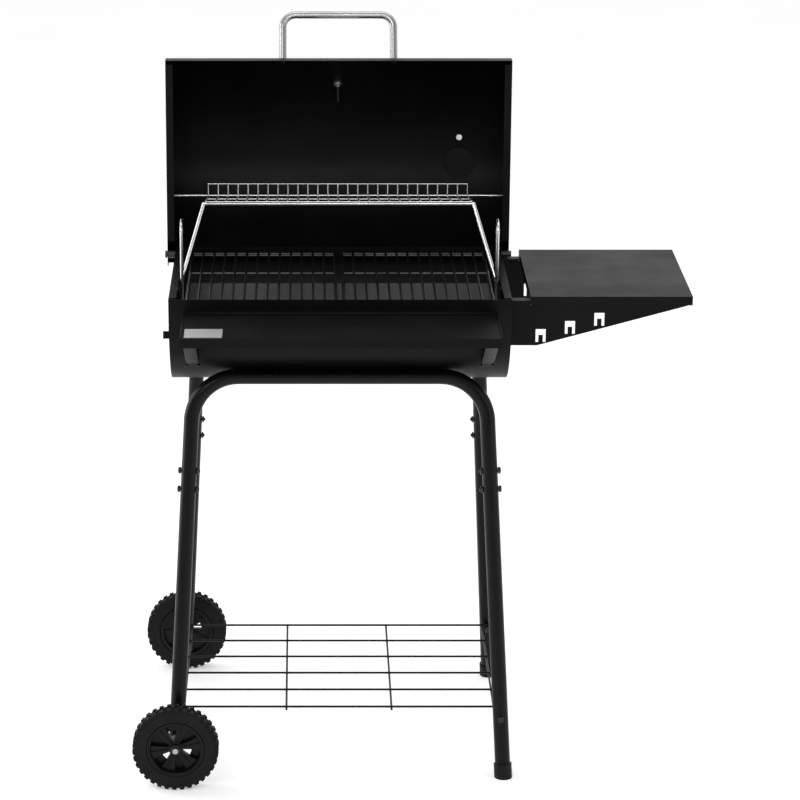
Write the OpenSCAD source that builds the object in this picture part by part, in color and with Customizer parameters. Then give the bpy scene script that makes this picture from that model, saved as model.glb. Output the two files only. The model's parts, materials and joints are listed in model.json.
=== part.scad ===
// Barrel charcoal grill on a tubular cart.
// The barrel's axis runs along X, the cook stands on the -Y side, and the ground is z = 0.
// The lid is drawn fully open. Sizes are in millimetres.

/* [Barrel] */
// Outer radius of the lower half barrel
barrel_r = 192; // [185:1:200]
// Length of the lower half barrel
barrel_len = 610; // [600:1:620]
// Height of the lower half barrel's rim above the ground
rim_z = 890; // [880:1:900]
// Sheet thickness of barrel, lid, shelf and table
sheet = 1.5; // [1.2:0.1:2]
// Width of the folded edge on the end plates
fold_w = 12; // [10:1:13]

/* [Lid] */
// Radial gap between the closed lid and the lower half barrel
lid_gap = 2.5; // [2:0.5:3]
// How far each lid end stands outside the barrel's end
lid_side = 14.5; // [14:0.5:16]
// How far the lid's edge hangs below the rim when closed
lid_skirt = 6; // [4:1:7]
// Distance of the lid's pivot behind the barrel's axis
hinge_y = 172; // [170:1:174]
// Depth of the lid's pivot below the rim
hinge_drop = 10; // [9:1:11]
// Angle that is cut away from the lid's rear edge
lid_trim = 5; // [4:1:8]

/* [Cooking space] */
// Diameter of the cooking grate's long wires
grate_wire = 4; // [3:0.5:5]
// Pitch of the cooking grate's long wires
grate_pitch = 20.5; // [20:0.5:26]
// Travel of the charcoal tray
tray_lift = 30; // [20:1:32]

/* [Warming rack] */
// Diameter of the rack support's wire
support_wire = 7; // [6:0.5:7]
// Diameter of the rack's rear rod
rack_rod = 5; // [4:0.5:5]

/* [Stand] */
// Outer diameter of the leg tubes
tube_d = 28; // [26:1:28]
// Wall of the leg tubes
tube_wall = 1.5; // [1.2:0.1:2]
// Bend radius of the upper leg frames
bend_r = 85; // [75:1:90]
// Diameter of the wheels
wheel_d = 157; // [150:1:160]
// Width of the wheels
wheel_w = 32; // [30:1:34]

/* [Table and shelf] */
// Length of the side table away from the barrel
table_len = 288; // [270:1:300]
// Depth of the side table, front to back
table_depth = 339; // [320:1:345]
// Depth of the front shelf
shelf_depth = 163; // [150:1:170]

/* [Hidden] */
$fn = 64;
round_fn = 48;
clear = 0.2;
run_gap = 0.05;
half_len = barrel_len/2;
barrel_in = barrel_r - sheet;
lid_in = barrel_r + lid_gap;
lid_r = lid_in + sheet;
lid_half = half_len + lid_side;
hinge_z = rim_z - hinge_drop;
lid_open = -90;
pin_r = 4;
bolt_r = 3;

// Warming rack linkage: support pivot, support top and rear rod, as [y, z] with the lid open
support_pivot = [36, 850];
support_top = [115, 991];
rack_pivot = [262, 972];
support_foot_x = 294;
support_top_x = 250;

// Leg line: crossbar height and the leg ends on the ground
bar_y = 130;
bar_z = rim_z - sqrt(pow(barrel_r + tube_d/2 + clear, 2) - bar_y*bar_y);
foot_x = 301;
foot_y = 250;
leg_joint_z = 580;
leg_overlap = 80;
splay = 2.9;
axle_z = wheel_d/2;
axle_r = 5;
wheel_y = 296;
shelf_z = 121;

// Side table and front shelf
table_x = 339;
table_front = -171;
table_lip = 16;
front_z = 865;
front_half = 279;
front_back = 194;
front_lip = 17;
lean = atan((foot_y - bar_y)/bar_z);
wheel_x = foot_x - axle_z*tan(splay)/cos(lean);

// Vent in the lid: place, size and damper
vent_x = 234;
vent_angle = 78;
vent_r = 31;
vent_swing = 48;
vent_rise = 6;
screw_head_r = 6;
screw_head_h = 3;
back_y = hinge_y + hinge_drop + (lid_r + vent_rise + 2*clear + sheet + screw_head_h)*sin(vent_angle)
    + (vent_swing + screw_head_r)*cos(vent_angle);

// Middle of the whole object's outline, which becomes the origin
mid_x = (table_x + table_len - wheel_x - wheel_d/2)/2;
mid_y = (back_y - front_back - shelf_depth)/2;

enamel = "#1c1c1e";
dark_wire = "#26262a";
bright = "#c9cbce";
steel = "#a9abae";
black_plate = "#29292c";
plastic = "#202022";
rubber = "#151516";

module at_origin() {
    translate([-mid_x, -mid_y, 0]) children();
}

// Swings a piece drawn with the lid closed to where it is with the lid open
module lid_place() {
    at_origin() translate([0, hinge_y, hinge_z]) rotate([lid_open, 0, 0])
        translate([0, -hinge_y, -hinge_z]) children();
}

// Extrudes an outline drawn as [y, z] along X, from the first x to the second
module along_x(from, to) {
    translate([from, 0, 0]) rotate([90, 0, 90]) linear_extrude(to - from) children();
}

// A rod along X
module rod_x(from, to, r) {
    translate([from, 0, 0]) rotate([0, 90, 0]) cylinder(r = r, h = to - from);
}

// A rod along Y
module rod_y(from, to, r) {
    translate([0, from, 0]) rotate([-90, 0, 0]) cylinder(r = r, h = to - from);
}

// A round wire between two points
module wire(a, b, d) {
    v = b - a;
    len = norm(v);
    translate(a) rotate([0, acos(v[2]/len), atan2(v[1], v[0])]) cylinder(d = d, h = len, $fn = round_fn);
}

// ---- lower half barrel ----

module bowl_outline(r) {
    intersection() {
        circle(r = r, $fn = 128);
        translate([-r - 1, -r - 1]) square([2*r + 2, r + 1]);
    }
}

// Radial bolt places that hold the leg frames to the barrel
module at_frame_bolts() {
    tilt = asin(bar_y/(barrel_r + tube_d/2 + clear));
    for (x = [-170, 170], side = [-1, 1])
        translate([x, 0, rim_z]) rotate([side*tilt, 0, 0]) translate([0, 0, -barrel_r]) children();
}

module bowl_shell() {
    color(enamel) at_origin() difference() {
        translate([0, 0, rim_z]) along_x(-half_len, half_len) difference() {
            bowl_outline(barrel_r);
            circle(r = barrel_in, $fn = 128);
        }
        at_frame_bolts() translate([0, 0, -10]) cylinder(r = bolt_r + run_gap, h = 20);
        for (x = [-strut_x, strut_x]) at_strut_end(x) cylinder(r = bolt_r + run_gap, h = 20, center = true);
    }
}

// Holes in both end plates: lid pivot and rack support pivot
module end_bores() {
    translate([0, hinge_y, hinge_z]) rod_x(-20, 20, pin_r + run_gap);
    translate([0, support_pivot[0], support_pivot[1]]) rod_x(-20, 20, support_wire/2 + run_gap);
}

module bowl_end_body() {
    plate_in = half_len - sheet;
    difference() {
        union() {
            translate([0, 0, rim_z]) along_x(plate_in, half_len) bowl_outline(barrel_in - clear);
            translate([plate_in - fold_w, -180, rim_z - sheet]) cube([fold_w, 336, sheet]);
        }
        translate([half_len, 0, 0]) end_bores();
    }
}

// Air holes and their damper are centred here on the left end plate, as [y, z]
damper_at = [-70, 801];
damper_r = 42;
air_hole_r = 9;
air_hole_ring = 25;
air_holes = 4;

module air_hole_pattern(start) {
    for (i = [0:air_holes - 1]) rotate([start + i*360/air_holes, 0, 0])
        translate([0, 0, air_hole_ring]) rod_x(-20, 20, air_hole_r);
}

module bowl_end_left() {
    color(enamel) at_origin() difference() {
        mirror([1, 0, 0]) bowl_end_body();
        translate([-half_len, damper_at[0], damper_at[1]]) {
            air_hole_pattern(0);
            rod_x(-20, 20, pin_r + run_gap);
        }
    }
}

module bowl_end_right() {
    color(enamel) at_origin() difference() {
        bowl_end_body();
        for (y = bracket_y, z = bracket_bolt_z)
            translate([half_len, y + bolt_inset(y), z]) rod_x(-20, 20, bolt_r + run_gap);
    }
}

module air_damper() {
    color(enamel) at_origin() translate([-half_len - clear, damper_at[0], damper_at[1]]) difference() {
        union() {
            rod_x(-sheet, 0, damper_r);
            translate([-12 - sheet, -damper_r + 6, -7]) cube([12.5, sheet, 14]);
        }
        air_hole_pattern(45);
        rod_x(-20, 20, pin_r + run_gap);
    }
}

module air_damper_rivet() {
    color(steel) at_origin() translate([-half_len, damper_at[0], damper_at[1]]) {
        rod_x(-3, sheet + 0.5, pin_r);
        rod_x(-5, -2*clear - sheet, 8);
        rod_x(sheet, sheet + 2, 8);
    }
}

module hinge_pins() {
    color(black_plate) at_origin() for (side = [0, 1]) mirror([side, 0, 0])
        translate([0, hinge_y, hinge_z]) {
            rod_x(half_len - sheet - 4, lid_half + sheet + 3, pin_r);
            rod_x(half_len - sheet - 6, half_len - sheet, 7);
            rod_x(lid_half + sheet + 0.3, lid_half + sheet + 4, 7);
        }
}

module hinge_spacers() {
    color(black_plate) at_origin() for (side = [0, 1]) mirror([side, 0, 0])
        translate([0, hinge_y, hinge_z]) difference() {
            rod_x(half_len, lid_half - 0.3, 7);
            rod_x(half_len - 1, lid_half, pin_r + run_gap);
        }
}

// ---- lid, drawn closed ----

// Frame on the lid's shell: x along the barrel, angle up from the rear rim
module on_lid(x, angle) {
    translate([x, 0, rim_z]) rotate([angle - 90, 0, 0]) translate([0, 0, lid_r]) children();
}

handle_half = 104;
handle_angle = 155;
handle_d = 14;
handle_out = 89;
dial_angle = 130;
plate_angle = 159;
plate_half = 27;

module lid_shell() {
    color(enamel) lid_place() difference() {
        translate([0, 0, rim_z]) along_x(-lid_half, lid_half) {
            difference() {
                circle(r = lid_r, $fn = 128);
                circle(r = lid_in, $fn = 128);
                translate([-300, -300]) square([600, 300]);
                polygon([[0, 0], [300, 0], [300, 300*tan(lid_trim)]]);
            }
            translate([-lid_r, -lid_skirt]) square([sheet, lid_skirt]);
        }
        on_lid(vent_x, vent_angle) translate([0, 0, -20]) cylinder(r = vent_r, h = 40);
        at_vent_pivot() translate([0, 0, -20]) cylinder(r = bolt_r + run_gap, h = 30);
        for (x = [-handle_half, handle_half]) on_lid(x, handle_angle)
            translate([0, 0, -20]) cylinder(r = bolt_r + run_gap, h = 30);
        on_lid(0, dial_angle) translate([0, 0, -20]) cylinder(r = 5 + run_gap, h = 30);
        for (x = [-plate_half, plate_half]) on_lid(x, plate_angle)
            translate([0, 0, -20]) cylinder(r = 2 + run_gap, h = 30);
    }
}

module lid_end_body() {
    difference() {
        union() {
            translate([0, 0, rim_z]) along_x(lid_half, lid_half + sheet) {
                intersection() {
                    circle(r = lid_r, $fn = 128);
                    translate([-300, 0]) square([600, 300]);
                }
                translate([-lid_r, -lid_skirt]) square([2*lid_r, lid_skirt]);
            }
            translate([lid_half - fold_w, -188, rim_z - lid_skirt]) cube([fold_w, 336, sheet]);
        }
        translate([lid_half, hinge_y, hinge_z]) rod_x(-20, 20, pin_r + run_gap);
    }
}

module lid_end_left() {
    color(enamel) lid_place() mirror([1, 0, 0]) lid_end_body();
}

module lid_end_right() {
    color(enamel) lid_place() lid_end_body();
}

module lid_handle() {
    bend = 24;
    color(bright) lid_place() on_lid(0, handle_angle) difference() {
        union() {
            translate([-handle_half + bend, 0, handle_out]) rod_x(0, 2*handle_half - 2*bend, handle_d/2);
            for (side = [0, 1]) mirror([side, 0, 0]) {
                translate([handle_half, 0, 3]) cylinder(d = handle_d, h = handle_out - bend - 3);
                translate([handle_half - bend, 0, handle_out - bend]) rotate([90, 0, 0])
                    rotate_extrude(angle = 90) translate([bend, 0]) circle(d = handle_d);
            }
        }
        for (x = [-handle_half, handle_half]) translate([x, 0, 0]) cylinder(r = bolt_r + run_gap, h = 20);
    }
}

module handle_collars() {
    color(steel) lid_place() for (x = [-handle_half, handle_half]) on_lid(x, handle_angle) difference() {
        translate([0, 0, 0.1]) cylinder(d1 = handle_d + 8, d2 = handle_d + 4, h = 2.9);
        cylinder(r = bolt_r + run_gap, h = 10);
    }
}

module handle_screws() {
    color(black_plate) lid_place() for (x = [-handle_half, handle_half]) on_lid(x, handle_angle) {
        translate([0, 0, -sheet - 4]) cylinder(r = bolt_r, h = 22);
        translate([0, 0, -sheet - 5]) cylinder(r = 6, h = 4.6);
    }
}

module thermometer_dial() {
    color(steel) lid_place() on_lid(0, dial_angle) difference() {
        translate([0, 0, 2.5]) cylinder(r = 25, h = 12);
        translate([0, 0, 12.5]) cylinder(r = 22, h = 5);
        cylinder(r = 5 + run_gap, h = 8);
    }
}

module thermometer_stem() {
    color(steel) lid_place() on_lid(0, dial_angle) {
        translate([0, 0, -12]) cylinder(r = 5, h = 20);
        translate([0, 0, -48]) cylinder(r = 2, h = 37);
    }
}

module thermometer_nut() {
    color(steel) lid_place() on_lid(0, dial_angle) difference() {
        translate([0, 0, -sheet - 6.6]) cylinder(r = 9, h = 6, $fn = 6);
        translate([0, 0, -12]) cylinder(r = 5 + run_gap, h = 12);
    }
}

module lid_plate() {
    half = 4.5;
    color(steel) lid_place() difference() {
        translate([0, 0, rim_z]) along_x(-40, 40) intersection() {
            difference() {
                circle(r = lid_r + 1.2, $fn = 128);
                circle(r = lid_r + 0.2, $fn = 128);
            }
            polygon([[0, 0], 300*[cos(plate_angle - half), sin(plate_angle - half)],
                300*[cos(plate_angle + half), sin(plate_angle + half)]]);
        }
        for (x = [-plate_half, plate_half]) on_lid(x, plate_angle)
            translate([0, 0, -20]) cylinder(r = 2 + run_gap, h = 30);
    }
}

module lid_plate_rivets() {
    color(black_plate) lid_place() for (x = [-plate_half, plate_half]) on_lid(x, plate_angle) {
        translate([0, 0, -sheet - 2]) cylinder(r = 2, h = 5.2);
        translate([0, 0, -sheet - 2.2]) cylinder(r = 3.5, h = 1.9);
    }
}

// The flat top of the vent's collar is square to this radial line
module at_vent() {
    on_lid(vent_x, vent_angle) children();
}

module at_vent_pivot() {
    at_vent() translate([0, -vent_swing, 0]) children();
}

module vent_collar() {
    color(enamel) lid_place() difference() {
        at_vent() {
            translate([0, 0, -4]) cylinder(r = vent_r + 3, h = vent_rise + 4);
            translate([0, -vent_swing, -9]) cylinder(r = 7, h = vent_rise + 9);
            translate([-3, -vent_swing + 4, -9]) cube([6, vent_swing - vent_r - 3, vent_rise + 9]);
        }
        at_vent() translate([0, 0, -10]) cylinder(r = vent_r, h = 30);
        at_vent_pivot() translate([0, 0, -20]) cylinder(r = bolt_r + run_gap, h = 40);
        translate([0, 0, rim_z]) rotate([0, 90, 0]) cylinder(r = lid_r + 0.1, h = 400, $fn = 360);
    }
}

module vent_damper() {
    color(enamel) lid_place() at_vent() translate([0, 0, vent_rise + clear]) difference() {
        union() {
            cylinder(r = vent_r + 5, h = sheet);
            translate([-9, -vent_swing, 0]) cube([18, vent_swing, sheet]);
            translate([0, -vent_swing, 0]) cylinder(r = 9, h = sheet);
            translate([-8, vent_r + 2, 0]) cube([16, sheet, 12]);
        }
        translate([0, -vent_swing, -1]) cylinder(r = bolt_r + run_gap, h = 5);
    }
}

module vent_pivot_screw() {
    color(steel) lid_place() at_vent_pivot() {
        translate([0, 0, -14]) cylinder(r = bolt_r, h = vent_rise + clear + sheet + 15);
        translate([0, 0, vent_rise + 2*clear + sheet]) cylinder(r = screw_head_r, h = screw_head_h);
        translate([0, 0, -15]) cylinder(r = 5.5, h = 4);
    }
}

// ---- warming rack ----

// The rack's rear rod wanders by this much in its slots as the lid closes, as [y, z] steps
slot_path = [[0, 0], [-3.8, -3.8], [-6.6, -5.2], [-7.9, -4.9], [-7.3, -3.5], [-4.7, -1.6]];

module rack_pivot_blocks() {
    color(enamel) at_origin() for (side = [0, 1]) mirror([side, 0, 0])
        translate([lid_half - 8.1, rack_pivot[0], rack_pivot[1]]) rotate([90, 0, 90])
            linear_extrude(8) difference() {
                translate([-17, -15]) square([30, 26]);
                offset(r = rack_rod/2 + 0.5, $fn = 32) polygon(slot_path);
            }
}

rack_half = 246;
comb_height = 22;
comb_gaps = 26;
comb_pitch = 2*rack_half/comb_gaps;

module warming_rack() {
    d = 3;
    rack_len = norm(rack_pivot - support_top);
    tilt = atan2(support_top[1] - rack_pivot[1], rack_pivot[0] - support_top[0]);
    rise = (support_wire + d)/2 + 0.4;
    color(bright) at_origin() translate([0, rack_pivot[0], rack_pivot[1]]) rotate([-tilt, 0, 0]) {
        rod_x(-lid_half + 4, lid_half - 4, rack_rod/2);
        translate([0, 0, comb_height]) rod_x(-rack_half, rack_half, d/2);
        for (i = [1:comb_gaps - 1]) {
            x = -rack_half + i*comb_pitch;
            wire([x, 1, -1], [x, 0, comb_height + 0.6], d);
            wire([x, 1, -0.5], [x, -rack_len - 6, rise], d);
        }
        for (y = [-rack_len/2, -rack_len - 5])
            translate([0, y, -y/rack_len*rise - 1.8]) rod_x(-rack_half, rack_half, d/2);
        for (x = [-rack_half, rack_half]) {
            wire([x, 0, 0], [x, 0, comb_height], d);
            wire([x, 0, 0], [x, -rack_len - 6, rise], d);
            translate([x, 0, comb_height]) sphere(d = d);
        }
    }
}

module rack_support() {
    foot = [support_foot_x, support_pivot[0], support_pivot[1]];
    top = [support_top_x, support_top[0], support_top[1]];
    color(bright) at_origin() {
        translate([0, support_top[0], support_top[1]])
            rod_x(-support_top_x, support_top_x, support_wire/2);
        for (side = [0, 1]) mirror([side, 0, 0]) {
            wire(foot, top, support_wire);
            translate(top) sphere(d = support_wire + 0.3);
            translate(foot) sphere(d = support_wire + 0.3);
            translate([0, foot[1], foot[2]]) rod_x(support_foot_x, half_len + 3, support_wire/2);
        }
    }
}

// ---- cooking grate and charcoal tray ----

grate_z = 884;
grate_half_depth = 172;
grate_outer = 273;
grate_inner = 7;
grate_frame = 6;
grate_weld = 1.6;
cross_r = grate_frame/2 - 0.3;
grate_frame_z = grate_z - (grate_wire + grate_frame)/2 + grate_weld;
ledge_z = grate_frame_z - grate_frame/2 - clear - sheet;

// One half of the grate: long wires over a welded frame, its cross rods a shade thinner than its sides
module grate_half() {
    span = grate_outer - grate_inner;
    gaps = round(span/grate_pitch);
    z = grate_frame_z;
    for (y = [-grate_half_depth, 26, grate_half_depth - 13, grate_half_depth])
        translate([0, y, z]) rod_x(grate_inner, grate_outer, cross_r);
    for (x = [grate_inner, grate_outer]) {
        translate([x, 0, z]) rod_y(-grate_half_depth, grate_half_depth, grate_frame/2);
        for (y = [-grate_half_depth, grate_half_depth]) translate([x, y, z]) sphere(d = grate_frame + 0.3);
    }
    for (i = [1:gaps - 1]) translate([grate_inner + i*span/gaps, 0, grate_z])
        rod_y(-grate_half_depth, grate_half_depth, grate_wire/2);
}

module cooking_grate_left() {
    color(dark_wire) at_origin() mirror([1, 0, 0]) grate_half();
}

module cooking_grate_right() {
    color(dark_wire) at_origin() grate_half();
}

// Small angles on the barrel's front and rear walls that carry the grates
module grate_ledges() {
    color(enamel) at_origin() for (x = [-150, 150], side = [-1, 1])
        intersection() {
            translate([x - 130, side*178 - 14, ledge_z]) cube([260, 28, sheet]);
            translate([0, 0, rim_z]) rod_x(-300, 300, barrel_in - clear);
        }
}

tray_half_len = 284;
tray_half_depth = 140;
tray_wall = 34;
tray_top_gap = 13.9;
tray_z = ledge_z - tray_wall - tray_lift - tray_top_gap;
handle_x = tray_half_len + 2.1;
handle_front = -62;
handle_rear = -12;
handle_top = 996;

module charcoal_tray() {
    color(enamel) at_origin() translate([0, 0, tray_z]) difference() {
        translate([-tray_half_len, -tray_half_depth, 0])
            cube([2*tray_half_len, 2*tray_half_depth, tray_wall]);
        translate([-tray_half_len + sheet, -tray_half_depth + sheet, sheet])
            cube([2*(tray_half_len - sheet), 2*(tray_half_depth - sheet), tray_wall]);
        for (x = [-240:60:240], y = [-90:60:90]) translate([x, y, -1]) cylinder(r = 7, h = 5);
    }
}

module tray_handle_body() {
    d = 4;
    r = 18;
    low = tray_z + 12;
    translate([handle_x, 0, 0]) {
        for (y = [handle_front, handle_rear]) wire([0, y, low], [0, y, handle_top - r], d);
        for (y = [handle_front, handle_rear]) translate([0, y, low]) sphere(d = d, $fn = round_fn);
        translate([0, 0, low]) rod_y(handle_front, handle_rear, d/2);
        translate([0, 0, handle_top]) rod_y(handle_front + r, handle_rear - r, d/2);
        translate([0, handle_rear - r, handle_top - r]) rotate([90, 0, 90])
            rotate_extrude(angle = 90, $fn = 64) translate([r, 0]) circle(d = d, $fn = 24);
        translate([0, handle_front + r, handle_top - r]) rotate([90, 0, 90])
            rotate([0, 0, 90]) rotate_extrude(angle = 90, $fn = 64)
                translate([r, 0]) circle(d = d, $fn = 24);
    }
}

module tray_handle_left() {
    color(bright) at_origin() mirror([1, 0, 0]) tray_handle_body();
}

module tray_handle_right() {
    color(bright) at_origin() tray_handle_body();
}

// Angles on the end plates that carry the tray, with the guides of its lift handles above them
module tray_rests() {
    wall_in = half_len - sheet;
    rest_z = tray_z - sheet - 0.1;
    guide_out = 14.5;
    guide_z = 846;
    guide_h = 34;
    guide_len = 95;
    rest_len = 130;
    color(enamel) at_origin() for (side = [0, 1]) mirror([side, 0, 0]) {
        translate([wall_in - 26, -30, rest_z]) cube([26, rest_len, sheet]);
        translate([wall_in - sheet, -30, tray_z - 20]) cube([sheet, rest_len, rest_z - tray_z + 20]);
        translate([wall_in - guide_out, -guide_len, guide_z]) cube([sheet, guide_len, guide_h]);
        translate([wall_in - guide_out, -guide_len, guide_z]) cube([guide_out, guide_len, sheet]);
    }
}

// ---- stand ----

// Local frame of a leg frame: the crossbar is the x axis and the legs run down -z
module leg_plane(side) {
    translate([0, side*bar_y, bar_z]) rotate([side*lean, 0, 0]) children();
}

bar_half = foot_x - bend_r*cos(splay)
    - (bar_z/cos(lean) - bend_r*(1 - sin(splay)))*tan(splay);

// From the end of the bend, the leg's line runs down and outwards
module on_leg() {
    translate([bar_half + bend_r*cos(splay), 0, -bend_r*(1 - sin(splay))]) rotate([0, 180 - splay, 0])
        children();
}

leg_len = (bar_z/cos(lean) - bend_r*(1 - sin(splay)))/cos(splay);
upper_len = leg_len - leg_joint_z/(cos(lean)*cos(splay));

// A leg frame as a solid bar: the straights are a shade thinner than the bends they run into
module u_sweep(r, cut) {
    into = 2;
    straight_r = r - 0.15;
    rod_x(-bar_half - into, bar_half + into, straight_r);
    for (m = [0, 1]) mirror([m, 0, 0]) {
        translate([bar_half, 0, -bend_r]) rotate([90, 0, 0]) rotate([0, 0, splay])
            rotate_extrude(angle = 90 - splay) translate([bend_r, 0]) circle(r = r);
        on_leg() translate([0, 0, -into]) cylinder(r = straight_r, h = upper_len - cut + into);
    }
}

// Cross holes for the two bolts of each leg joint, at these distances below the joint's top
bolt_drop = [20, 54];

module at_leg_bolts(side_x, side_y) {
    mirror([side_x, 0, 0]) leg_plane(side_y) for (drop = bolt_drop)
        on_leg() translate([0, 0, upper_len + drop]) children();
}

module leg_frame(side) {
    r = tube_d/2;
    spigot_r = r - tube_wall - 0.1;
    at_origin() difference() {
        leg_plane(side) {
            u_sweep(r, clear);
            for (m = [0, 1]) mirror([m, 0, 0]) on_leg() translate([0, 0, upper_len - 10])
                cylinder(r = spigot_r, h = leg_overlap + 10);
        }
        leg_plane(side) for (m = [0, 1]) mirror([m, 0, 0]) on_leg() translate([0, 0, 20])
            cylinder(r = spigot_r - tube_wall, h = upper_len + leg_overlap);
        for (m = [0, 1]) at_leg_bolts(m, side) rod_x(-20, 20, bolt_r + run_gap);
        at_frame_bolts() translate([0, 0, -tube_d/2 - 1]) cylinder(r = bolt_r + run_gap, h = tube_d);
    }
}

module frame_front() {
    color(enamel) leg_frame(-1);
}

module frame_rear() {
    color(enamel) leg_frame(1);
}

module frame_bolts() {
    color(black_plate) at_origin() at_frame_bolts() {
        translate([0, 0, -tube_d/2]) cylinder(r = bolt_r, h = tube_d/2 + sheet + 2);
        translate([0, 0, sheet + 0.3]) cylinder(r = 6.5, h = 3);
    }
}

// A lower leg tube: it hangs from the joint's top and is cut off level at end_cut above the ground
module leg_body(side_x, side_y, end_cut) {
    at_origin() difference() {
        mirror([side_x, 0, 0]) leg_plane(side_y) on_leg() translate([0, 0, upper_len]) difference() {
            cylinder(r = tube_d/2, h = leg_len - upper_len + 20);
            translate([0, 0, -1]) cylinder(r = tube_d/2 - tube_wall, h = leg_len - upper_len + 30);
        }
        at_leg_bolts(side_x, side_y) rod_x(-20, 20, bolt_r + run_gap);
        translate([-500, -500, end_cut - 200]) cube([1000, 1000, 200]);
        if (side_x == 1) translate([-wheel_x, 0, axle_z]) rod_y(-400, 400, axle_r + run_gap);
        at_shelf_screws() rod_y(-40, 40, bolt_r + run_gap);
    }
}

left_leg_end = axle_z - 22;
cap_floor = 3;

module leg_front_left() {
    color(enamel) leg_body(1, -1, left_leg_end);
}

module leg_rear_left() {
    color(enamel) leg_body(1, 1, left_leg_end);
}

module leg_front_right() {
    color(enamel) leg_body(0, -1, cap_floor);
}

module leg_rear_right() {
    color(enamel) leg_body(0, 1, cap_floor);
}

module leg_bolts() {
    color(black_plate) at_origin() for (side_x = [0, 1], side_y = [-1, 1]) at_leg_bolts(side_x, side_y) {
        rod_x(-20, 20, bolt_r);
        rod_x(tube_d/2 + 0.4, tube_d/2 + 3.4, 6);
        translate([-tube_d/2 - 5.4, 0, 0]) rotate([0, 90, 0]) cylinder(r = 6, h = 5, $fn = 6);
    }
}

module foot_caps() {
    r = tube_d/2 + 2.5;
    color(rubber) at_origin() for (side = [-1, 1]) difference() {
        leg_plane(side) on_leg() translate([0, 0, leg_len - 26]) cylinder(r = r, h = 46);
        leg_plane(side) on_leg() translate([0, 0, leg_len - 40])
            cylinder(r = tube_d/2 + 0.1, h = 40 - cap_floor - 5);
        intersection() {
            leg_plane(side) on_leg() translate([0, 0, leg_len - 40]) cylinder(r = tube_d/2 + 0.1, h = 80);
            translate([0, -500, cap_floor]) cube([1000, 1000, 200]);
        }
        translate([0, -500, -200]) cube([1000, 1000, 200]);
    }
}

shelf_wire = 4;
shelf_half_x = 292;
shelf_half_y = 208;
screw_z = shelf_z - 9;
screw_x = foot_x - 6;

module at_shelf_screws() {
    for (x = [-screw_x, screw_x], side = [-1, 1])
        translate([x, side*(foot_y - screw_z*tan(lean)), screw_z]) children();
}

module wire_shelf() {
    wires = 6;
    pitch = 2*shelf_half_y/(wires - 1);
    under = shelf_z - shelf_wire + 0.6;
    color(dark_wire) at_origin() {
        for (i = [0:wires - 1]) translate([0, -shelf_half_y + i*pitch, shelf_z])
            rod_x(-shelf_half_x - 5, shelf_half_x + 5, shelf_wire/2);
        for (x = [-shelf_half_x + 8, -96.5, 96.5, shelf_half_x - 8])
            translate([x, 0, under]) rod_y(-shelf_half_y - 5, shelf_half_y + 5, shelf_wire/2);
        for (x = [-screw_x, screw_x], side = [-1, 1]) translate([x, side*(shelf_half_y + 2.5), screw_z])
            difference() {
                rod_y(-2, 2, 8.5);
                rod_y(-10, 10, bolt_r + run_gap);
            }
    }
}

module shelf_screws() {
    color(black_plate) at_origin() for (x = [-screw_x, screw_x], side = [-1, 1])
        translate([x, 0, screw_z]) rotate([0, 0, side < 0 ? 180 : 0]) {
            leg_at = foot_y - screw_z*tan(lean);
            rod_y(shelf_half_y - 2, leg_at + tube_d/2 + 4, bolt_r);
            rod_y(shelf_half_y - 4, shelf_half_y + 0.2, 6);
            rod_y(leg_at + tube_d/2 + 2.4, leg_at + tube_d/2 + 5.6, 6);
        }
}

module axle() {
    color(steel) at_origin() translate([-wheel_x, 0, axle_z])
        rod_y(-wheel_y - wheel_w/2 - 6, wheel_y + wheel_w/2 + 6, axle_r);
}

// Washers inside each wheel and push caps outside it
module axle_caps() {
    color(black_plate) at_origin() for (side = [0, 1]) mirror([0, side, 0])
        translate([-wheel_x, 0, axle_z]) difference() {
            union() {
                rod_y(wheel_y + wheel_w/2 - 7.6, wheel_y + wheel_w/2 - 2, 9);
                rod_y(wheel_y - 42.5, wheel_y - 12.4, 8);
            }
            rod_y(200, wheel_y + wheel_w/2 + 20, axle_r + run_gap);
        }
}

rim_r = 52;

module wheel_place(side) {
    at_origin() translate([-wheel_x, side*wheel_y, axle_z]) rotate([90, 0, 0]) children();
}

module tyre() {
    color(rubber) rotate_extrude($fn = 96) difference() {
        translate([rim_r, -wheel_w/2]) square([wheel_d/2 - rim_r, wheel_w]);
        for (m = [0, 1]) mirror([0, m]) polygon([[wheel_d/2 + 1, wheel_w/2 - 5],
            [wheel_d/2 + 1, wheel_w/2 + 1], [wheel_d/2 - 5, wheel_w/2 + 1]]);
    }
}

module hub() {
    windows = 6;
    color(plastic) difference() {
        rotate_extrude($fn = 96) polygon([[axle_r + run_gap, -12], [14, -12], [14, -4], [45, -6],
            [45, -15], [rim_r - 0.1, -15], [rim_r - 0.1, 15], [45, 15], [45, 2], [14, 5], [14, 8],
            [axle_r + run_gap, 8]]);
        for (i = [0:windows - 1]) rotate([0, 0, i*360/windows])
            translate([30, 0, -20]) cylinder(r = 8.5, h = 40);
    }
}

module tyre_front() {
    wheel_place(-1) tyre();
}

module tyre_rear() {
    wheel_place(1) mirror([0, 0, 1]) tyre();
}

module hub_front() {
    wheel_place(-1) hub();
}

module hub_rear() {
    wheel_place(1) mirror([0, 0, 1]) hub();
}

// ---- side table ----

bracket_y = [-165, 150];
bracket_bolt_z = [815, 860];
bracket_top = 882;
bracket_low = 799;
bracket_tip = 618;
slot_x = [358, 410, 462];
slot_z = [817, 832, 847];

function bolt_inset(y) = y < 0 ? 12 : -12;

module side_table() {
    color(enamel) at_origin() translate([table_x, table_front, rim_z - table_lip]) difference() {
        cube([table_len, table_depth, table_lip]);
        translate([sheet, sheet, -1])
            cube([table_len - 2*sheet, table_depth - 2*sheet, table_lip + 1 - sheet]);
    }
}

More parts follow.
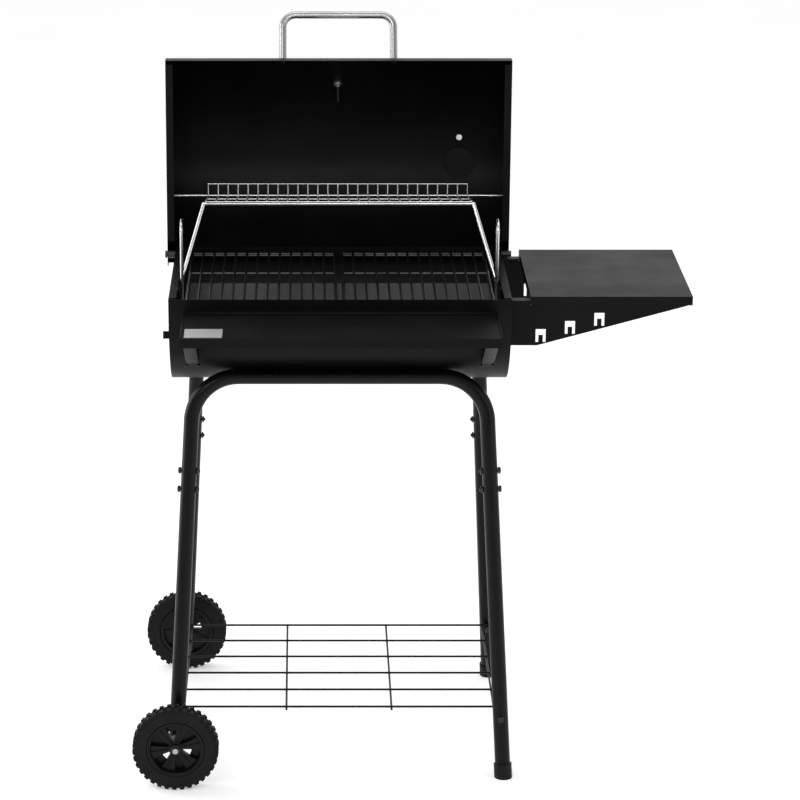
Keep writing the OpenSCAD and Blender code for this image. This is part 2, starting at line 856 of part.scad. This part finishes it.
// A tool slot is a square hole with a tongue standing in it
module tool_slot() {
    difference() {
        square([18, 24], center = true);
        translate([0, -6]) square([8, 14], center = true);
    }
}

module bracket(fold) {
    top = rim_z - sheet - 0.1;
    difference() {
        union() {
            rotate([90, 0, 0]) linear_extrude(sheet) difference() {
                polygon([[half_len + 0.1, bracket_low], [352, bracket_low],
                    [bracket_tip, rim_z - table_lip - 2], [bracket_tip, top],
                    [table_x + 3, top], [table_x + 3, bracket_top - 0.5],
                    [half_len + 0.1, bracket_top - 0.5]]);
                for (i = [0:2]) translate([slot_x[i], slot_z[i]]) tool_slot();
                polygon([[table_x - 0.4, rim_z - table_lip - 0.4],
                    [table_x + sheet + 0.4, rim_z - table_lip - 0.4],
                    [table_x + sheet + 0.4, rim_z + 1], [table_x - 0.4, rim_z + 1]]);
            }
            translate([table_x + 6, fold > 0 ? -sheet : -16, top - sheet]) cube([270, 16, sheet]);
            translate([half_len + 0.1, fold > 0 ? -sheet : -20, bracket_top - 2]) cube([33, 20, sheet]);
            translate([half_len + 0.1, fold > 0 ? -sheet : -20, bracket_low])
                cube([sheet, 20, bracket_top - bracket_low - 1]);
        }
        for (z = bracket_bolt_z) translate([half_len, fold > 0 ? 12 : -12, z])
            rod_x(-20, 20, bolt_r + run_gap);
    }
}

module table_bracket_front() {
    color(enamel) at_origin() translate([0, bracket_y[0], 0]) bracket(1);
}

module table_bracket_rear() {
    color(enamel) at_origin() translate([0, bracket_y[1], 0]) bracket(-1);
}

module table_bolts() {
    color(black_plate) at_origin() for (y = bracket_y, z = bracket_bolt_z)
        translate([half_len, y + bolt_inset(y), z]) {
            rod_x(-sheet - 5, 5, bolt_r);
            rod_x(sheet + 0.4, 5, 5.5);
            rod_x(-sheet - 4.4, -sheet - 0.3, 5.5);
        }
}

// ---- front shelf ----

module front_shelf() {
    depth = shelf_depth;
    color(enamel) at_origin() translate([-front_half, -front_back - depth, front_z - sheet]) {
        cube([2*front_half, depth, sheet]);
        translate([0, 0, -front_lip + sheet]) cube([2*front_half, sheet, front_lip]);
        for (x = [0, 2*front_half - sheet]) translate([x, 0, -9]) cube([sheet, depth, 9 + sheet]);
    }
}

// Where a strut's lower end is bolted to the barrel, facing out along the radius
strut_angle = 37;
strut_x = 264;

module at_strut_end(x) {
    translate([x, 0, rim_z]) rotate([90 + strut_angle, 0, 0]) translate([0, 0, barrel_r]) children();
}

module front_shelf_struts() {
    low = barrel_r*[-cos(strut_angle), -sin(strut_angle)];
    high = [-front_back - shelf_depth + 6, front_z - rim_z - sheet - 0.2];
    color(enamel) at_origin() for (x = [-strut_x, strut_x]) difference() {
        union() {
            translate([0, 0, rim_z]) along_x(x - 11, x + 11)
                polygon([high, high - [0, 3], low - [14, 11], low - [1, 1], high + [12, 0]]);
            at_strut_end(x) translate([-11, -9, 0.3]) cube([22, 30, 2]);
        }
        at_strut_end(x) translate([0, 0, -10]) cylinder(r = bolt_r + run_gap, h = 60);
        translate([0, 0, rim_z]) rod_x(-400, 400, barrel_r + 0.2);
    }
}

module strut_bolts() {
    color(black_plate) at_origin() for (x = [-strut_x, strut_x]) at_strut_end(x) {
        translate([0, 0, -sheet - 5]) cylinder(r = bolt_r, h = sheet + 24);
        translate([0, 0, -sheet - 4.5]) cylinder(r = 6, h = 4);
    }
}

module shelf_plate() {
    color(bright) at_origin() translate([-front_half + 7, -front_back - shelf_depth + 6, front_z + 0.1])
        cube([66, 54, 0.8]);
}

bowl_shell();
bowl_end_left();
bowl_end_right();
hinge_pins();
hinge_spacers();
lid_shell();
lid_end_left();
lid_end_right();
lid_handle();
handle_collars();
handle_screws();
thermometer_dial();
thermometer_stem();
thermometer_nut();
lid_plate();
lid_plate_rivets();
vent_collar();
vent_damper();
vent_pivot_screw();
rack_pivot_blocks();
warming_rack();
rack_support();
cooking_grate_left();
cooking_grate_right();
grate_ledges();
charcoal_tray();
tray_handle_left();
tray_handle_right();
tray_rests();
air_damper();
air_damper_rivet();
frame_front();
frame_rear();
frame_bolts();
leg_front_left();
leg_front_right();
leg_rear_left();
leg_rear_right();
leg_bolts();
foot_caps();
wire_shelf();
shelf_screws();
axle();
axle_caps();
tyre_front();
hub_front();
tyre_rear();
hub_rear();
side_table();
table_bracket_front();
table_bracket_rear();
table_bolts();
front_shelf();
front_shelf_struts();
strut_bolts();
shelf_plate();
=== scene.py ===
import json
import math
import bpy
import bmesh
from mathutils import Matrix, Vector


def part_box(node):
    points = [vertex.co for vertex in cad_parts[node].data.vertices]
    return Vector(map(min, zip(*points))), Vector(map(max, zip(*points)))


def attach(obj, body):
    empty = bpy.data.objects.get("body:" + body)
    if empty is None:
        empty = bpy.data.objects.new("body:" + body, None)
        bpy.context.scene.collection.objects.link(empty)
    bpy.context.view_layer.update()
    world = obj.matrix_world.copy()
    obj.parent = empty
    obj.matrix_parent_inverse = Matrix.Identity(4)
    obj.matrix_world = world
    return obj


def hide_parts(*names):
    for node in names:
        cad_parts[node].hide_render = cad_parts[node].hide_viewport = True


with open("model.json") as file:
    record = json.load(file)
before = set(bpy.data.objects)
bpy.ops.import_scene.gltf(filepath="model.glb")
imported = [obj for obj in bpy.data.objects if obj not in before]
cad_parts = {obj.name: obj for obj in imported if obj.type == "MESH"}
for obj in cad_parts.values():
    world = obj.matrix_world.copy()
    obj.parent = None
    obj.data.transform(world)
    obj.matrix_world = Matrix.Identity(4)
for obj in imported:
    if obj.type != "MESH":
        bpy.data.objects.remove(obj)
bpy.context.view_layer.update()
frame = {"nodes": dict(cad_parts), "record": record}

MM = 0.001

# angles of the thermometer and of the front shelf's struts round the barrel
DIAL_ANGLE = 130
STRUT_ANGLE = 37
BOLT_HEAD_R = 6 * MM


# ---------------------------------------------------------------- materials
class Nodes:
    """A small helper around one material's node tree."""

    def __init__(self, name):
        self.mat = bpy.data.materials.new(name)
        self.mat.use_nodes = True
        self.tree = self.mat.node_tree
        self.shader = self.tree.nodes["Principled BSDF"]

    def add(self, kind, **values):
        n = self.tree.nodes.new(kind)
        for key, value in values.items():
            if key in n.inputs:
                n.inputs[key].default_value = value
            else:
                setattr(n, key, value)
        return n

    def link(self, a, out, b, into):
        self.tree.links.new(a.outputs[out], b.inputs[into])

    def coords(self, scale=(1, 1, 1)):
        t = self.add("ShaderNodeTexCoord")
        m = self.add("ShaderNodeMapping")
        m.inputs["Scale"].default_value = scale
        self.link(t, "Object", m, "Vector")
        return m

    def noise(self, source, scale, detail=4.0, rough=0.55):
        n = self.add("ShaderNodeTexNoise", Scale=scale, Detail=detail, Roughness=rough)
        self.link(source, "Vector", n, "Vector")
        return n

    def ramp(self, source, out, low, high):
        r = self.add("ShaderNodeMapRange")
        r.inputs["From Min"].default_value = 0.3
        r.inputs["From Max"].default_value = 0.7
        r.inputs["To Min"].default_value = low
        r.inputs["To Max"].default_value = high
        self.link(source, out, r, "Value")
        return r

    def tint(self, source, out, dark, light):
        r = self.add("ShaderNodeValToRGB")
        r.color_ramp.elements[0].position = 0.3
        r.color_ramp.elements[1].position = 0.72
        r.color_ramp.elements[0].color = (*dark, 1)
        r.color_ramp.elements[1].color = (*light, 1)
        self.link(source, out, r, "Fac")
        self.link(r, "Color", self.shader, "Base Color")
        return r

    def bump(self, source, out, strength, distance):
        b = self.add("ShaderNodeBump", Strength=strength, Distance=distance)
        self.link(source, out, b, "Height")
        self.link(b, "Normal", self.shader, "Normal")
        return b


def paint(name, dark, light, rough, grain=1500, strength=0.12, spec=0.4):
    """Satin paint: fine orange peel, soft patches of gloss and a trace of dust."""
    m = Nodes(name)
    c = m.coords()
    fine = m.noise(c, grain, 3)
    patch = m.noise(c, 9, 5)
    m.tint(patch, "Fac", dark, light)
    r = m.ramp(patch, "Fac", rough - 0.05, rough + 0.07)
    m.link(r, "Result", m.shader, "Roughness")
    m.bump(fine, "Fac", strength, 0.0002)
    m.shader.inputs["Specular IOR Level"].default_value = spec
    return m.mat


def metal(name, dark, light, rough, stretch=(1, 1, 1), grain=700, strength=0.15):
    """Bare or plated metal with drawn grain along the axis that stretch leaves smallest."""
    m = Nodes(name)
    c = m.coords(stretch)
    grain_noise = m.noise(c, grain, 4)
    big = m.noise(m.coords(), 14, 4)
    m.tint(big, "Fac", dark, light)
    r = m.ramp(grain_noise, "Fac", rough - 0.06, rough + 0.08)
    m.link(r, "Result", m.shader, "Roughness")
    m.bump(grain_noise, "Fac", strength, 0.0001)
    m.shader.inputs["Metallic"].default_value = 1.0
    return m.mat


def moulded(name, dark, light, rough, grain=900, strength=0.2):
    """Moulded rubber or plastic with a fine texture."""
    m = Nodes(name)
    c = m.coords()
    fine = m.noise(c, grain, 5, 0.65)
    patch = m.noise(c, 30, 3)
    m.tint(patch, "Fac", dark, light)
    r = m.ramp(fine, "Fac", rough - 0.04, rough + 0.06)
    m.link(r, "Result", m.shader, "Roughness")
    m.bump(fine, "Fac", strength, 0.0003)
    m.shader.inputs["Specular IOR Level"].default_value = 0.16
    return m.mat


M = {
    "black_enamel": paint("black_enamel", (0.0022, 0.0022, 0.0023), (0.0040, 0.0040, 0.0042),
                          0.40, spec=0.09),
    "tray_enamel": paint("tray_enamel", (0.11, 0.11, 0.108), (0.17, 0.17, 0.167), 0.55, 1100, 0.15, 0.2),
    "tube_paint": paint("tube_paint", (0.0018, 0.0018, 0.002), (0.0034, 0.0034, 0.0036),
                        0.30, 1200, 0.08, 0.16),
    "black_hardware": metal("black_hardware", (0.03, 0.03, 0.032), (0.06, 0.06, 0.063), 0.4),
    "zinc_steel": metal("zinc_steel", (0.36, 0.36, 0.37), (0.55, 0.55, 0.56), 0.34),
    "grate_steel": metal("grate_steel", (0.035, 0.035, 0.037), (0.075, 0.075, 0.078), 0.33),
    "bright_wire": metal("bright_wire", (0.55, 0.55, 0.56), (0.78, 0.78, 0.79), 0.2, (1, 1, 1), 500, 0.05),
    "shelf_wire": paint("shelf_wire", (0.002, 0.002, 0.0022), (0.005, 0.005, 0.0052), 0.4, spec=0.2),
    "brushed_handle": metal("brushed_handle", (0.34, 0.34, 0.345), (0.46, 0.46, 0.465), 0.27,
                            (0.05, 1, 1), 1600, 0.25),
    "label_metal": metal("label_metal", (0.62, 0.62, 0.63), (0.78, 0.78, 0.79), 0.45,
                         (0.04, 1, 1), 1800, 0.25),
    "dial_face": metal("dial_face", (0.45, 0.45, 0.46), (0.62, 0.62, 0.63), 0.25),
    "black_plastic": moulded("black_plastic", (0.003, 0.003, 0.003), (0.007, 0.007, 0.007), 0.48),
    "tyre": moulded("tyre", (0.003, 0.003, 0.0032), (0.008, 0.008, 0.0083), 0.6, 1400, 0.35),
    "hub_plastic": moulded("hub_plastic", (0.002, 0.002, 0.0022), (0.005, 0.005, 0.0053), 0.34, 1000, 0.1),
}
dial_white = moulded("dial_white", (0.62, 0.62, 0.60), (0.72, 0.72, 0.70), 0.35, 600, 0.02)
dial_ink = moulded("dial_ink", (0.010, 0.010, 0.010), (0.02, 0.02, 0.02), 0.5)
needle_red = paint("needle_red", (0.35, 0.015, 0.012), (0.45, 0.02, 0.016), 0.35)

slot_of = {}
for entry in frame["record"]["subparts"]:
    slot_of[entry["node"]] = entry["material_slot"]
body_of = {}
for body, names in frame["record"]["behaviour"]["bodies"].items():
    for n in names:
        body_of[n] = body


def round_edges(obj, width, segments=2):
    b = obj.modifiers.new("edges", "BEVEL")
    b.width = width
    b.segments = segments
    b.limit_method = "ANGLE"
    b.angle_limit = math.radians(40)
    b.harden_normals = False
    return b


THIN = {"bowl_shell", "bowl_end_left", "bowl_end_right", "lid_shell", "lid_end_left", "lid_end_right",
        "side_table", "table_bracket_front", "table_bracket_rear", "charcoal_tray", "air_damper",
        "vent_damper", "tray_rests", "grate_ledges"}
for name, obj in frame["nodes"].items():
    obj.data.materials.clear()
    obj.data.materials.append(M[slot_of[name]])
    for p in obj.data.polygons:
        p.use_smooth = True
    obj.data.set_sharp_from_angle(angle=math.radians(35))
    if name == "front_shelf":
        round_edges(obj, 0.7 * MM, 3)
    elif name in THIN:
        round_edges(obj, 0.45 * MM)


# ---------------------------------------------------------------- mesh helpers
def piece(name, verts, faces, material, body, smooth=35, edges=0.0):
    me = bpy.data.meshes.new(name)
    me.from_pydata([tuple(v) for v in verts], [], faces)
    me.validate()
    bm = bmesh.new()
    bm.from_mesh(me)
    bmesh.ops.recalc_face_normals(bm, faces=bm.faces)
    bm.to_mesh(me)
    bm.free()
    for p in me.polygons:
        p.use_smooth = True
    me.set_sharp_from_angle(angle=math.radians(smooth))
    me.materials.append(material)
    o = bpy.data.objects.new(name, me)
    bpy.context.scene.collection.objects.link(o)
    if edges:
        round_edges(o, edges)
    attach(o, body)
    return o


class Build:
    """Collects vertices and faces in a local frame (origin, x, y, z axes)."""

    def __init__(self, origin, x, y, z):
        self.o, self.x, self.y, self.z = Vector(origin), Vector(x), Vector(y), Vector(z)
        self.v, self.f = [], []

    def at(self, a, b, c):
        return self.o + self.x * a + self.y * b + self.z * c

    def lathe(self, profile, steps=96, closed=True):
        """Turns (radius, height) pairs about the local z axis."""
        base, n = len(self.v), len(profile)
        for i in range(steps):
            t = 2 * math.pi * i / steps
            for r, h in profile:
                self.v.append(self.at(r * math.cos(t), r * math.sin(t), h))
        for i in range(steps):
            j = (i + 1) % steps
            for k in range(n if closed else n - 1):
                l = (k + 1) % n
                self.f.append((base + i * n + k, base + j * n + k, base + j * n + l, base + i * n + l))

    def block(self, t0, t1, r0, r1, h0, h1, taper_t=0.0, taper_h=0.0):
        """A block between two angles, radii and heights that narrows towards r1."""
        base = len(self.v)
        for r, g, s in ((r0, 0.0, 0.0), (r1, taper_t, taper_h)):
            for t, h in ((t0 + g, h0 + s), (t1 - g, h0 + s), (t1 - g, h1 - s), (t0 + g, h1 - s)):
                self.v.append(self.at(r * math.cos(t), r * math.sin(t), h))
        for q in ((0, 1, 2, 3), (7, 6, 5, 4), (0, 4, 5, 1), (1, 5, 6, 2), (2, 6, 7, 3), (3, 7, 4, 0)):
            self.f.append(tuple(base + i for i in q))

    def merge(self, other):
        """Adds another build's vertices and faces to this one."""
        base = len(self.v)
        self.v += other.v
        self.f += [tuple(base + k for k in q) for q in other.f]

    def prism(self, outline, z0, z1):
        """A flat outline in local x, y between two heights."""
        base, n = len(self.v), len(outline)
        for h in (z0, z1):
            for a, b in outline:
                self.v.append(self.at(a, b, h))
        self.f.append(tuple(base + i for i in range(n)))
        self.f.append(tuple(base + n + i for i in range(n)))
        for i in range(n):
            j = (i + 1) % n
            self.f.append((base + i, base + j, base + n + j, base + n + i))


# ---------------------------------------------------------------- wheels
def wheel(tag, side):
    lo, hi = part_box("tyre_" + tag)
    centre = (lo + hi) / 2
    out = Vector((0, side, 0))
    frame_axes = (Vector((1, 0, 0)), out.cross(Vector((1, 0, 0))), out)
    tyre = Build(centre, *frame_axes)
    core = [(52.1, -13), (53.5, -14.6), (57, -15.2), (58, -14.7), (64, -15.3), (69, -15.6), (73, -14.6),
            (75.6, -12), (76.0, -6), (76.0, 6), (75.6, 12), (73, 14.6), (69, 15.6), (64, 15.3), (58, 14.7),
            (57, 15.2), (53.5, 14.6), (52.1, 13)]
    tyre.lathe([(r * MM, h * MM) for r, h in core], 120)
    lugs = 34
    step = 2 * math.pi / lugs
    for i in range(lugs):
        t = i * step
        for row, (h0, h1) in enumerate(((-15.4, -6.2), (-5.0, 5.0), (6.2, 15.4))):
            s = t + (step / 2 if row == 1 else 0)
            if row == 1:
                tyre.block(s, s + step * 0.56, 75.2 * MM, 78.3 * MM, h0 * MM, h1 * MM, 0.006, 0.0006)
            else:
                tyre.block(s, s + step * 0.60, 72.4 * MM, 78.3 * MM, h0 * MM, h1 * MM, 0.007, 0.0008)
        for sign in (-1, 1):
            a, b = sorted((sign * 14.2, sign * 15.8))
            tyre.block(t + step * 0.1, t + step * 0.5, 68.5 * MM, 73.6 * MM, a * MM, b * MM, 0.004, 0.0002)
    tyre_obj = piece("tread_" + tag, tyre.v, tyre.f, M["tyre"], "wheel_" + tag)
    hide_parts("tyre_" + tag)

    hub = Build(centre, *frame_axes)
    ring = [(45.5, -15), (51.9, -15), (51.9, 15), (49.6, 15.2), (48.6, 13.8), (46.6, 13.4), (45.5, 11)]
    hub.lathe([(r * MM, h * MM) for r, h in ring], 96)
    boss = [(5.2, -12), (13.5, -12), (13.5, 7.6), (12.2, 8.4), (9.4, 8.6), (9.2, 7.8), (5.2, 7.8)]
    hub.lathe([(r * MM, h * MM) for r, h in boss], 64)
    spokes = 6
    for i in range(spokes):
        t = 2 * math.pi * i / spokes + 0.2
        # broad dished spoke between two pockets
        edge = [(12.5, 5.2), (24, 7.4), (36, 10.8), (45.9, 14.5)]
        outline = [(a, -b) for a, b in edge] + edge[::-1]
        c, s = math.cos(t), math.sin(t)
        spoke = Build(centre, frame_axes[0] * c + frame_axes[1] * s,
                      frame_axes[1] * c - frame_axes[0] * s, out)
        spoke.prism([(a * MM, b * MM) for a, b in outline], -4.5 * MM, 5.2 * MM)
        rib = [(13, -1.1), (45.9, -1.6), (45.9, 1.6), (13, 1.1)]
        spoke.prism([(a * MM, b * MM) for a, b in rib], 5.2 * MM, 7.2 * MM)
        # floor of every second pocket is closed, the others are open right through near the boss
        hub.merge(spoke)
        u = t + math.pi / spokes
        c, s = math.cos(u), math.sin(u)
        inner = 29.5 if i % 2 else 13
        web = Build(centre, frame_axes[0] * c + frame_axes[1] * s,
                    frame_axes[1] * c - frame_axes[0] * s, out)
        web.prism([(inner * MM, -inner * 0.62 * MM), (45.9 * MM, -15 * MM), (45.9 * MM, 15 * MM),
                   (inner * MM, inner * 0.62 * MM)], -6.5 * MM, -4.6 * MM)
        hub.merge(web)
    hub_obj = piece("spokes_" + tag, hub.v, hub.f, M["hub_plastic"], "wheel_" + tag,
                    30, 0.5 * MM)
    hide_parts("hub_" + tag)


wheel("front", -1)
wheel("rear", 1)

# ---------------------------------------------------------------- thermometer dial
lo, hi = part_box("thermometer_dial")
dial_turn = math.radians(DIAL_ANGLE)
normal = Vector((0, math.sin(dial_turn), -math.cos(dial_turn)))
across = Vector((-1, 0, 0))
up = normal.cross(across)
dial = ((lo + hi) / 2, across, up, normal)
face = Build(*dial)
face.lathe([(0.3 * MM, 4.05 * MM), (21.6 * MM, 4.05 * MM), (21.6 * MM, 4.25 * MM), (0.3 * MM, 4.35 * MM)], 96)
piece("dial_card", face.v, face.f, dial_white, "lid")
bezel = Build(*dial)
rim = [(21.7, 4.1), (23.2, 5.9), (24.8, 5.7), (24.9, 3), (22, 3)]
bezel.lathe([(r * MM, h * MM) for r, h in rim], 96)
piece("dial_bezel", bezel.v, bezel.f, M["dial_face"], "lid", 30)
ticks = Build(*dial)
for i in range(31):
    t = math.radians(-45 + i * 9)
    long = i % 5 == 0
    half, inner = (0.022, 16) if long else (0.011, 18)
    ticks.block(t - half, t + half, inner * MM, 20.5 * MM, 4.3 * MM, 4.5 * MM)
piece("dial_ticks", ticks.v, ticks.f, dial_ink, "lid")
needle = Build(*dial)
a = math.radians(215)
c, s = math.cos(a), math.sin(a)
pointer = ((-4, -0.9), (-4, 0.9), (16, 0.25), (16, -0.25))
needle.prism([(x * c * MM - y * s * MM, x * s * MM + y * c * MM) for x, y in pointer], 4.6 * MM, 5.0 * MM)
piece("dial_needle", needle.v, needle.f, needle_red, "lid")

# ---------------------------------------------------------------- wing bolts under the front shelf
lo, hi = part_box("strut_bolts")
lean = math.radians(STRUT_ANGLE)
outward = Vector((0, -math.cos(lean), -math.sin(lean)))
for i, x in enumerate((lo.x + BOLT_HEAD_R, hi.x - BOLT_HEAD_R)):
    tip = Vector((x, lo.y, lo.z)) - outward * 2.2 * MM
    axes = (Vector((1, 0, 0)), outward.cross(Vector((1, 0, 0))), outward)
    nut = Build(tip, *axes)
    nut.lathe([(3.2 * MM, -9 * MM), (6.2 * MM, -9 * MM), (5.4 * MM, -1.5 * MM), (3.2 * MM, -1.5 * MM)], 32)
    for sign in (-1, 1):
        wing = [(4.4, -8), (9, -6.5), (13.5, 0), (12.5, 2.0), (9.5, 1.0), (5, -2.4)]
        fin = Build(tip, Vector((sign, 0, 0)), outward, axes[1])
        fin.prism([(p * MM, q * MM) for p, q in wing], -1.1 * MM, 1.1 * MM)
        nut.merge(fin)
    piece("wing_nut_%d" % i, nut.v, nut.f, M["black_hardware"], "stand", 35, 0.3 * MM)

# ---------------------------------------------------------------- shelf hems
lo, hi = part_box("front_shelf")
for i, x in enumerate((lo.x, hi.x - 2.6 * MM)):
    hem = Build((x, lo.y + 1.5 * MM, hi.z), (1, 0, 0), (0, 1, 0), (0, 0, 1))
    depth = hi.y - lo.y - 6 * MM
    hem.prism([(0, 0), (2.6 * MM, 0), (2.6 * MM, depth), (0, depth)], 0.05 * MM, 2.2 * MM)
    piece("shelf_hem_%d" % i, hem.v, hem.f, M["black_enamel"], "stand", 35, 0.7 * MM)

# ---------------------------------------------------------------- stage, camera and light
floor_mat = Nodes("floor")
patch = floor_mat.noise(floor_mat.coords(), 3, 4)
floor_mat.tint(patch, "Fac", (0.90, 0.90, 0.90), (0.92, 0.92, 0.92))
floor_mat.shader.inputs["Roughness"].default_value = 0.9
floor_mat.shader.inputs["Emission Color"].default_value = (1, 1, 1, 1)
floor_mat.shader.inputs["Emission Strength"].default_value = 0.3
floor_mesh = bpy.data.meshes.new("floor")
R = 30.0
floor_mesh.from_pydata([(-R, -R, 0), (R, -R, 0), (R, R, 0), (-R, R, 0)], [], [(0, 1, 2, 3)])
floor_mesh.materials.append(floor_mat.mat)
floor = bpy.data.objects.new("floor", floor_mesh)
bpy.context.scene.collection.objects.link(floor)

table_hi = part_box("side_table")[1]
shelf_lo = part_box("front_shelf")[0]
# how far the side table's far edge and the front shelf's lip are from the barrel's axis
TABLE_REACH = 0.627
SHELF_REACH = 0.357
axis_x = table_hi.x - TABLE_REACH
axis_y = shelf_lo.y + SHELF_REACH
cam_data = bpy.data.cameras.new("camera")
cam_data.sensor_width = 36
cam_data.lens = 144
cam_data.shift_x = 0.1209
cam = bpy.data.objects.new("camera", cam_data)
cam.location = (axis_x - 0.0656, axis_y - 5.6623, 2.376)
LOOK_DOWN = 16.99
cam.rotation_euler = (math.radians(90 - LOOK_DOWN), 0, 0)
bpy.context.scene.collection.objects.link(cam)
bpy.context.scene.camera = cam


def softbox(name, at, to, w, h, power, colour=(1, 1, 1)):
    d = bpy.data.lights.new(name, "AREA")
    d.shape = "RECTANGLE"
    d.size, d.size_y = w, h
    d.energy = power
    d.color = colour
    o = bpy.data.objects.new(name, d)
    o.location = at
    o.rotation_euler = (Vector(to) - Vector(at)).to_track_quat("-Z", "Y").to_euler()
    bpy.context.scene.collection.objects.link(o)
    return o


softbox("key", (-1.6, -3.2, 3.2), (0, 0, 0.8), 2.2, 1.6, 44)
softbox("fill", (3.0, -2.2, 1.6), (0, 0, 0.7), 1.2, 2.4, 18)
softbox("left_strip", (-2.8, 0.4, 1.3), (0, 0, 0.7), 0.7, 2.6, 30)
softbox("top", (0, 0.4, 3.6), (0, 0, 0.8), 2.6, 1.6, 18)
softbox("into_lid", (0.2, -2.6, 2.3), (0, 0.25, 1.1), 1.2, 0.8, 12)

world = bpy.data.worlds.new("studio")
bpy.context.scene.world = world
world.use_nodes = True
tree = world.node_tree
back = tree.nodes["Background"]
back.inputs["Strength"].default_value = 1.0
where = tree.nodes.new("ShaderNodeTexCoord")
split = tree.nodes.new("ShaderNodeSeparateXYZ")
fade = tree.nodes.new("ShaderNodeMapRange")
fade.interpolation_type = "SMOOTHSTEP"
fade.inputs["From Min"].default_value = -0.45
fade.inputs["From Max"].default_value = 0.25
fade.inputs["To Min"].default_value = 0.38
fade.inputs["To Max"].default_value = 1.0
tree.links.new(where.outputs["Generated"], split.inputs["Vector"])
tree.links.new(split.outputs["Y"], fade.inputs["Value"])
tree.links.new(fade.outputs["Result"], back.inputs["Color"])
bpy.context.scene.view_settings.view_transform = "Standard"
